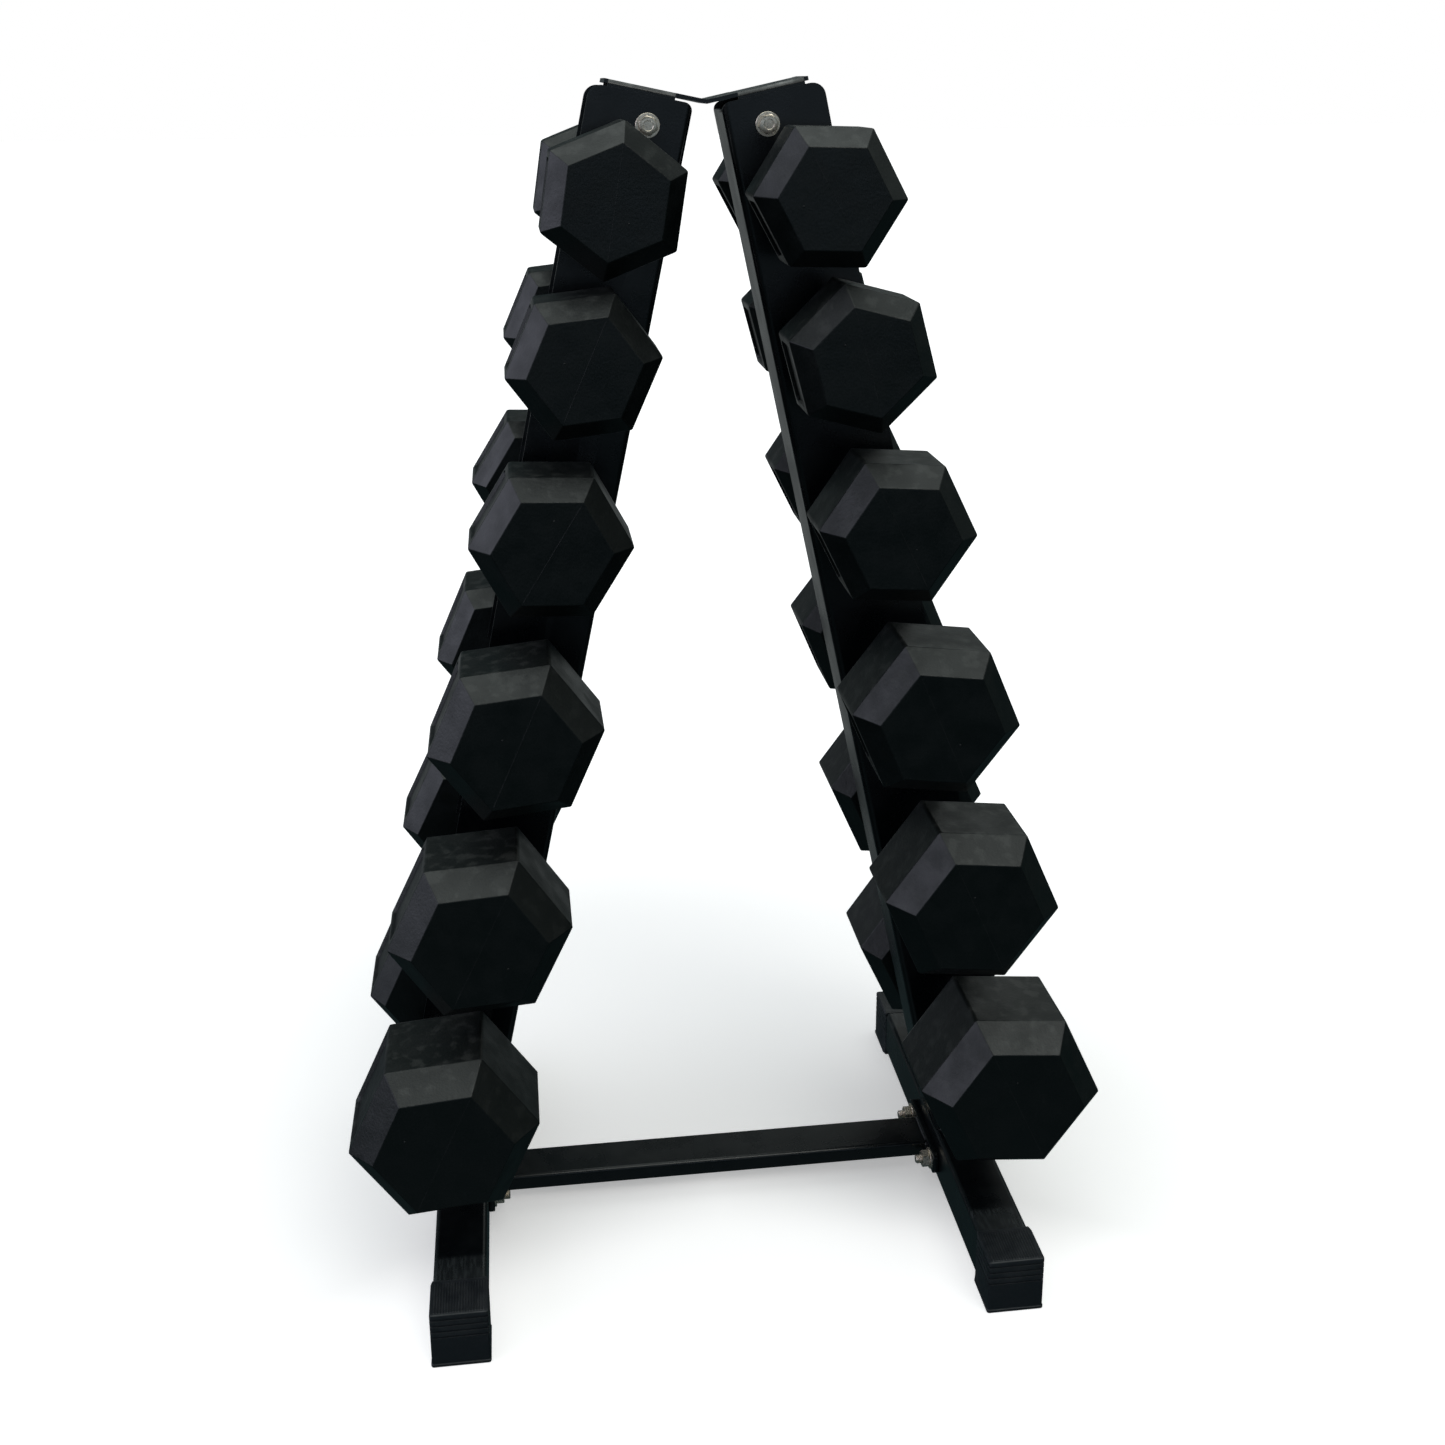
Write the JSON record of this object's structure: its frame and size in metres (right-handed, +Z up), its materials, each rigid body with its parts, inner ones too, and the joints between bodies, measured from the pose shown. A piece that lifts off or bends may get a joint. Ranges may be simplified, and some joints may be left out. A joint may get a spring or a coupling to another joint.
{
  "type": "dumbbell rack",
  "caption": "Leaning A-frame dumbbell rack of folded steel with slotted uprights, tube feet and a crossbar, loaded with lift-off hexagonal rubber dumbbells.",
  "frame": {"origin": "on the floor, midway between the two feet", "axes": "+Z up, +X to the right seen from the front, -Y towards the user; the handles lie along Y"},
  "size_m": [0.597, 0.396, 0.949],
  "materials": {
    "powder_coat": "satin",
    "zinc": "bright zinc plate",
    "end_cap": "matte, fine ribs",
    "head_rubber": "matte, fine grain",
    "handle_chrome": "polished with a knurled grip",
    "core_iron": "rough cast"
  },
  "bodies": {
    "rack": {"left_upright": "powder_coat", "right_upright": "powder_coat", "top_plate": "powder_coat", "top_bolts": "zinc", "top_washers": "zinc", "top_nuts": "zinc", "left_foot_tube": "powder_coat", "right_foot_tube": "powder_coat", "left_front_foot_cap": "end_cap", "left_rear_foot_cap": "end_cap", "right_front_foot_cap": "end_cap", "right_rear_foot_cap": "end_cap", "crossbar_tube": "powder_coat", "left_crossbar_plate": "powder_coat", "right_crossbar_plate": "powder_coat", "base_bolts": "zinc", "base_washers": "zinc", "base_nuts": "zinc"},
    "left_dumbbell_1": {"left_dumbbell_1_handle": "handle_chrome", "left_dumbbell_1_cores": "core_iron", "left_dumbbell_1_heads": "head_rubber"},
    "left_dumbbell_2": {"left_dumbbell_2_handle": "handle_chrome", "left_dumbbell_2_cores": "core_iron", "left_dumbbell_2_heads": "head_rubber"},
    "left_dumbbell_3": {"left_dumbbell_3_handle": "handle_chrome", "left_dumbbell_3_cores": "core_iron", "left_dumbbell_3_heads": "head_rubber"},
    "left_dumbbell_4": {"left_dumbbell_4_handle": "handle_chrome", "left_dumbbell_4_cores": "core_iron", "left_dumbbell_4_heads": "head_rubber"},
    "left_dumbbell_5": {"left_dumbbell_5_handle": "handle_chrome", "left_dumbbell_5_cores": "core_iron", "left_dumbbell_5_heads": "head_rubber"},
    "left_dumbbell_6": {"left_dumbbell_6_handle": "handle_chrome", "left_dumbbell_6_cores": "core_iron", "left_dumbbell_6_heads": "head_rubber"},
    "right_dumbbell_1": {"right_dumbbell_1_handle": "handle_chrome", "right_dumbbell_1_cores": "core_iron", "right_dumbbell_1_heads": "head_rubber"},
    "right_dumbbell_2": {"right_dumbbell_2_handle": "handle_chrome", "right_dumbbell_2_cores": "core_iron", "right_dumbbell_2_heads": "head_rubber"},
    "right_dumbbell_3": {"right_dumbbell_3_handle": "handle_chrome", "right_dumbbell_3_cores": "core_iron", "right_dumbbell_3_heads": "head_rubber"},
    "right_dumbbell_4": {"right_dumbbell_4_handle": "handle_chrome", "right_dumbbell_4_cores": "core_iron", "right_dumbbell_4_heads": "head_rubber"},
    "right_dumbbell_5": {"right_dumbbell_5_handle": "handle_chrome", "right_dumbbell_5_cores": "core_iron", "right_dumbbell_5_heads": "head_rubber"},
    "right_dumbbell_6": {"right_dumbbell_6_handle": "handle_chrome", "right_dumbbell_6_cores": "core_iron", "right_dumbbell_6_heads": "head_rubber"}
  },
  "joints": [
    {"name": "left_dumbbell_1_lift", "type": "slide", "parent": "rack", "child": "left_dumbbell_1", "axis": [-0.9135, 0, 0.4067], "range_m": [0, 0.25]},
    {"name": "left_dumbbell_2_lift", "type": "slide", "parent": "rack", "child": "left_dumbbell_2", "axis": [-0.9135, 0, 0.4067], "range_m": [0, 0.25]},
    {"name": "left_dumbbell_3_lift", "type": "slide", "parent": "rack", "child": "left_dumbbell_3", "axis": [-0.9135, 0, 0.4067], "range_m": [0, 0.25]},
    {"name": "left_dumbbell_4_lift", "type": "slide", "parent": "rack", "child": "left_dumbbell_4", "axis": [-0.9135, 0, 0.4067], "range_m": [0, 0.25]},
    {"name": "left_dumbbell_5_lift", "type": "slide", "parent": "rack", "child": "left_dumbbell_5", "axis": [-0.9135, 0, 0.4067], "range_m": [0, 0.25]},
    {"name": "left_dumbbell_6_lift", "type": "slide", "parent": "rack", "child": "left_dumbbell_6", "axis": [-0.9135, 0, 0.4067], "range_m": [0, 0.25]},
    {"name": "right_dumbbell_1_lift", "type": "slide", "parent": "rack", "child": "right_dumbbell_1", "axis": [0.9135, 0, 0.4067], "range_m": [0, 0.25]},
    {"name": "right_dumbbell_2_lift", "type": "slide", "parent": "rack", "child": "right_dumbbell_2", "axis": [0.9135, 0, 0.4067], "range_m": [0, 0.25]},
    {"name": "right_dumbbell_3_lift", "type": "slide", "parent": "rack", "child": "right_dumbbell_3", "axis": [0.9135, 0, 0.4067], "range_m": [0, 0.25]},
    {"name": "right_dumbbell_4_lift", "type": "slide", "parent": "rack", "child": "right_dumbbell_4", "axis": [0.9135, 0, 0.4067], "range_m": [0, 0.25]},
    {"name": "right_dumbbell_5_lift", "type": "slide", "parent": "rack", "child": "right_dumbbell_5", "axis": [0.9135, 0, 0.4067], "range_m": [0, 0.25]},
    {"name": "right_dumbbell_6_lift", "type": "slide", "parent": "rack", "child": "right_dumbbell_6", "axis": [0.9135, 0, 0.4067], "range_m": [0, 0.25]}
  ]
}
